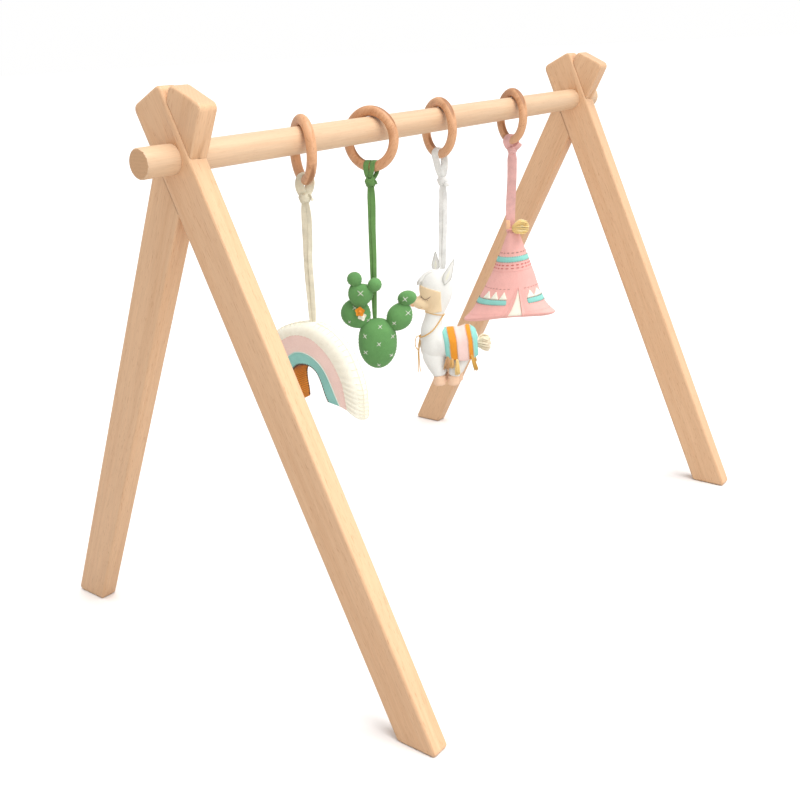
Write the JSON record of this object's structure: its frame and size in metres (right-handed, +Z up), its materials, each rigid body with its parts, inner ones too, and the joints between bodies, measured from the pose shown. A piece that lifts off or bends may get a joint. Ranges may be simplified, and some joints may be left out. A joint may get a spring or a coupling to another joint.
{
  "type": "activity play gym",
  "caption": "Baby play gym with A-frames of crossed wooden legs, a round crossbar, and soft toys hanging on fabric straps from wooden rings.",
  "frame": {"origin": "on the floor under the middle of the crossbar, the centre of the bounding box's bottom face", "axes": "+X along the crossbar towards the far A-frame, +Y towards the back, away from the side the toys face, +Z up"},
  "size_m": [0.79, 0.5194, 0.5562],
  "materials": {
    "beech": "clear satin lacquer",
    "cord_thread": "thread",
    "cream_felt": "felt",
    "gold_felt": "felt",
    "green_felt": "felt and cotton tape",
    "pale_dowel": "bare sanded wood",
    "pink_felt": "felt",
    "ring_wood": "waxed",
    "rose_felt": "felt and cotton tape",
    "tan_felt": "felt",
    "teal_felt": "felt",
    "white_felt": "felt and cotton tape"
  },
  "bodies": {
    "frame": {"far_back_leg": "beech", "far_front_leg": "beech", "near_back_leg": "beech", "near_front_leg": "beech"},
    "crossbar": {"crossbar": "pale_dowel"},
    "rainbow_ring": {"rainbow_ring": "ring_wood"},
    "rainbow_strap_loop": {"rainbow_strap_loop": "cream_felt"},
    "rainbow_strap": {"rainbow_strap": "cream_felt"},
    "rainbow_toy": {"rainbow_cream_band": "cream_felt", "rainbow_gold_lining": "gold_felt", "rainbow_pink_band": "pink_felt", "rainbow_teal_band": "teal_felt"},
    "cactus_ring": {"cactus_ring": "ring_wood"},
    "cactus_strap_loop": {"cactus_strap_loop": "green_felt"},
    "cactus_strap": {"cactus_strap": "green_felt"},
    "cactus_toy": {"cactus_body": "green_felt", "cactus_flower": "gold_felt", "cactus_left_pad": "green_felt", "cactus_middle_pad": "green_felt", "cactus_right_bud": "green_felt", "cactus_right_pad": "green_felt", "cactus_side_bud": "green_felt", "cactus_top_bud": "green_felt"},
    "llama_ring": {"llama_ring": "ring_wood"},
    "llama_strap_loop": {"llama_strap_loop": "white_felt"},
    "llama_strap": {"llama_strap": "white_felt"},
    "llama_toy": {"llama_blanket": "rose_felt", "llama_body": "white_felt", "llama_far_ear": "white_felt", "llama_front_far_leg": "white_felt", "llama_front_near_leg": "white_felt", "llama_muzzle": "tan_felt", "llama_near_ear": "white_felt", "llama_neck_cord": "cord_thread", "llama_rear_far_leg": "white_felt", "llama_rear_near_leg": "white_felt", "llama_tail": "cream_felt"},
    "teepee_ring": {"teepee_ring": "ring_wood"},
    "teepee_strap_loop": {"teepee_strap_loop": "rose_felt"},
    "teepee_strap": {"teepee_strap": "rose_felt"},
    "teepee_toy": {"teepee_door": "cream_felt", "teepee_lower_band": "teal_felt", "teepee_tassel": "cord_thread", "teepee_tent": "rose_felt", "teepee_upper_band": "teal_felt"}
  },
  "joints": [
    {"name": "crossbar_slide", "type": "slide", "parent": "frame", "child": "crossbar", "axis": [1, 0, 0], "range_m": [-0.033, 0.033]},
    {"name": "rainbow_ring_slide", "type": "slide", "parent": "crossbar", "child": "rainbow_ring", "axis": [1, 0, 0], "range_m": [-0.03, 0.03]},
    {"name": "rainbow_swing", "type": "hinge", "parent": "rainbow_ring", "child": "rainbow_strap_loop", "pos_m": [-0.1964, 0, 0.4908], "axis": [-0.8607, 0.509, 0], "range_deg": [-35, 35]},
    {"name": "rainbow_sway", "type": "hinge", "parent": "rainbow_strap_loop", "child": "rainbow_strap", "pos_m": [-0.198, 0, 0.447], "axis": [0.509, 0.8607, 0], "range_deg": [-15, 15]},
    {"name": "rainbow_twist", "type": "hinge", "parent": "rainbow_strap", "child": "rainbow_toy", "pos_m": [-0.198, 0, 0.447], "axis": [0, 0, 1], "range_deg": [-40, 40]},
    {"name": "cactus_ring_slide", "type": "slide", "parent": "crossbar", "child": "cactus_ring", "axis": [1, 0, 0], "range_m": [-0.03, 0.03]},
    {"name": "cactus_swing", "type": "hinge", "parent": "cactus_ring", "child": "cactus_strap_loop", "pos_m": [-0.0917, 0, 0.4908], "axis": [0.9903, 0.1392, 0], "range_deg": [-35, 35]},
    {"name": "cactus_sway", "type": "hinge", "parent": "cactus_strap_loop", "child": "cactus_strap", "pos_m": [-0.0945, 0, 0.449], "axis": [-0.1392, 0.9903, 0], "range_deg": [-15, 15]},
    {"name": "cactus_twist", "type": "hinge", "parent": "cactus_strap", "child": "cactus_toy", "pos_m": [-0.0945, 0, 0.449], "axis": [0, 0, 1], "range_deg": [-40, 40]},
    {"name": "llama_ring_slide", "type": "slide", "parent": "crossbar", "child": "llama_ring", "axis": [1, 0, 0], "range_m": [-0.03, 0.03]},
    {"name": "llama_swing", "type": "hinge", "parent": "llama_ring", "child": "llama_strap_loop", "pos_m": [0.0315, 0, 0.4908], "axis": [0.9245, -0.3811, 0], "range_deg": [-35, 35]},
    {"name": "llama_sway", "type": "hinge", "parent": "llama_strap_loop", "child": "llama_strap", "pos_m": [0.038, 0, 0.434], "axis": [0.3811, 0.9245, 0], "range_deg": [-15, 15]},
    {"name": "llama_twist", "type": "hinge", "parent": "llama_strap", "child": "llama_toy", "pos_m": [0.038, 0, 0.434], "axis": [0, 0, 1], "range_deg": [-30, 30]},
    {"name": "teepee_ring_slide", "type": "slide", "parent": "crossbar", "child": "teepee_ring", "axis": [1, 0, 0], "range_m": [-0.03, 0.03]},
    {"name": "teepee_swing", "type": "hinge", "parent": "teepee_ring", "child": "teepee_strap_loop", "pos_m": [0.1887, 0, 0.4908], "axis": [0.8746, -0.4848, 0], "range_deg": [-35, 35]},
    {"name": "teepee_sway", "type": "hinge", "parent": "teepee_strap_loop", "child": "teepee_strap", "pos_m": [0.1918, 0, 0.4515], "axis": [0.4848, 0.8746, 0], "range_deg": [-15, 15]},
    {"name": "teepee_twist", "type": "hinge", "parent": "teepee_strap", "child": "teepee_toy", "pos_m": [0.1918, 0, 0.4515], "axis": [0, 0, 1], "range_deg": [-40, 40]}
  ]
}
